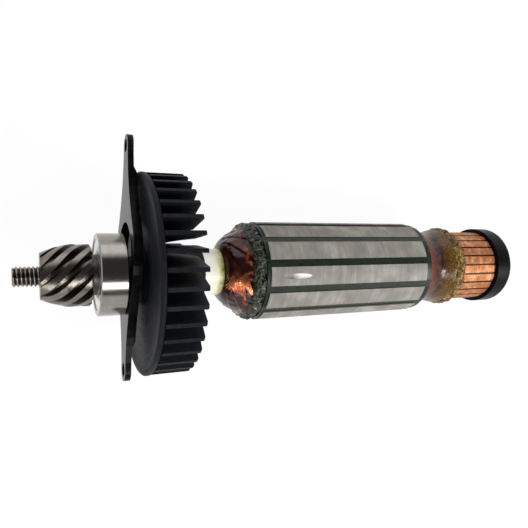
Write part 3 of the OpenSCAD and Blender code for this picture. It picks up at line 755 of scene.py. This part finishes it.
# The photo's camera as it was solved: lens in millimetres, place in metres.
camera_data = bpy.data.cameras.new("camera")
camera_data.sensor_width = 36
camera_data.sensor_fit = "HORIZONTAL"
camera_data.lens = 36.818
camera_data.clip_start = 0.01
camera_data.clip_end = 20
camera = bpy.data.objects.new("camera", camera_data)
bpy.context.scene.collection.objects.link(camera)
right = Vector((0.91226, -0.01802, 0.40921))
forward = Vector((0.40913, -0.00808, -0.91244)).normalized()
right = (right - forward * right.dot(forward)).normalized()
up = right.cross(forward)
eye = Vector((-0.03085, 0.00466, 0.21551))
camera.matrix_world = Matrix((
    (right.x, up.x, -forward.x, eye.x),
    (right.y, up.y, -forward.y, eye.y),
    (right.z, up.z, -forward.z, eye.z),
    (0, 0, 0, 1)))
bpy.context.scene.camera = camera


# ---------------------------------------------------------------- floor and light

low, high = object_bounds()
middle = (Vector(low) + Vector(high)) / 2


def floor():
    """A pale floor that keeps the shadow, and is white to the camera and in gloss."""
    n = Nodes("floor_white")
    soft = n.noise(n.mm, 0.01, 2, 0.5)
    n.finish(n.ramp(soft, [(0.3, (0.90, 0.90, 0.90)), (0.7, (0.92, 0.92, 0.92))]), 0.9)
    path = n.new("ShaderNodeLightPath")
    white = n.new("ShaderNodeEmission")
    white.inputs["Color"].default_value = (1, 1, 1, 1)
    white.inputs["Strength"].default_value = 1.02
    share = n.new("ShaderNodeMixShader")
    seen = n.math("ADD", path.outputs["Is Camera Ray"], path.outputs["Is Glossy Ray"])
    seen = n.math("ADD", seen, path.outputs["Is Transmission Ray"], clamp=True)
    n.link(n.times(seen, 0.93), share.inputs[0])
    n.link(n.shader.outputs[0], share.inputs[1])
    n.link(white.outputs[0], share.inputs[2])
    n.link(share.outputs[0], n.out.inputs["Surface"])
    mesh = bpy.data.meshes.new("floor")
    s, z = 4.0, low.z - 0.4 * MM
    corners = [(-s, -s, z), (s, -s, z), (s, s, z), (-s, s, z)]
    mesh.from_pydata(corners, [], [(0, 1, 2, 3)])
    mesh.materials.append(n.mat)
    obj = bpy.data.objects.new("floor", mesh)
    bpy.context.scene.collection.objects.link(obj)


floor()


def lamp(name, at, size, watts, tall=None):
    """A square lamp aimed at the middle, or a tall one facing the shaft square on."""
    data = bpy.data.lights.new(name, "AREA")
    data.shape = "RECTANGLE"
    data.size, data.size_y = size, tall or size
    data.energy = watts
    obj = bpy.data.objects.new(name, data)
    bpy.context.scene.collection.objects.link(obj)
    obj.location = middle + Vector(at)
    aim = Vector((obj.location.x, middle.y, middle.z)) if tall else middle
    obj.rotation_euler = (aim - obj.location).to_track_quat("-Z", "Y").to_euler()


lamp("lamp_below", (0.22, -0.29, 0.49), 0.90, 3.0, 0.17)
lamp("lamp_above", (0.10, 0.70, 0.27), 1.40, 1.7, 0.56)
lamp("lamp_left", (-0.42, -0.46, 0.36), 0.24, 0.6)
lamp("lamp_right", (0.42, -0.16, 0.42), 0.08, 2.2, 0.18)

# A pale wall up to about 30 degrees, so that the floor has no dark horizon, and a dim
# room above it, which the round metal parts mirror as their dark bands.
world = bpy.data.worlds.new("studio")
world.use_nodes = True
tree = world.node_tree
back = tree.nodes["Background"]
back.inputs["Color"].default_value = (1, 1, 1, 1)
coord = tree.nodes.new("ShaderNodeTexCoord")
split = tree.nodes.new("ShaderNodeSeparateXYZ")
rise = tree.nodes.new("ShaderNodeMapRange")
WALL_TOP, ROOM_FROM = 0.47, 0.56    # sines of the height above the horizon
WALL, ROOM = 1.0, 0.07              # strengths
for i, v in enumerate((WALL_TOP, ROOM_FROM, WALL, ROOM), 1):
    rise.inputs[i].default_value = v
tree.links.new(coord.outputs["Generated"], split.inputs[0])
tree.links.new(split.outputs[2], rise.inputs[0])
tree.links.new(rise.outputs[0], back.inputs["Strength"])
bpy.context.scene.world = world
bpy.context.scene.view_settings.view_transform = "Standard"
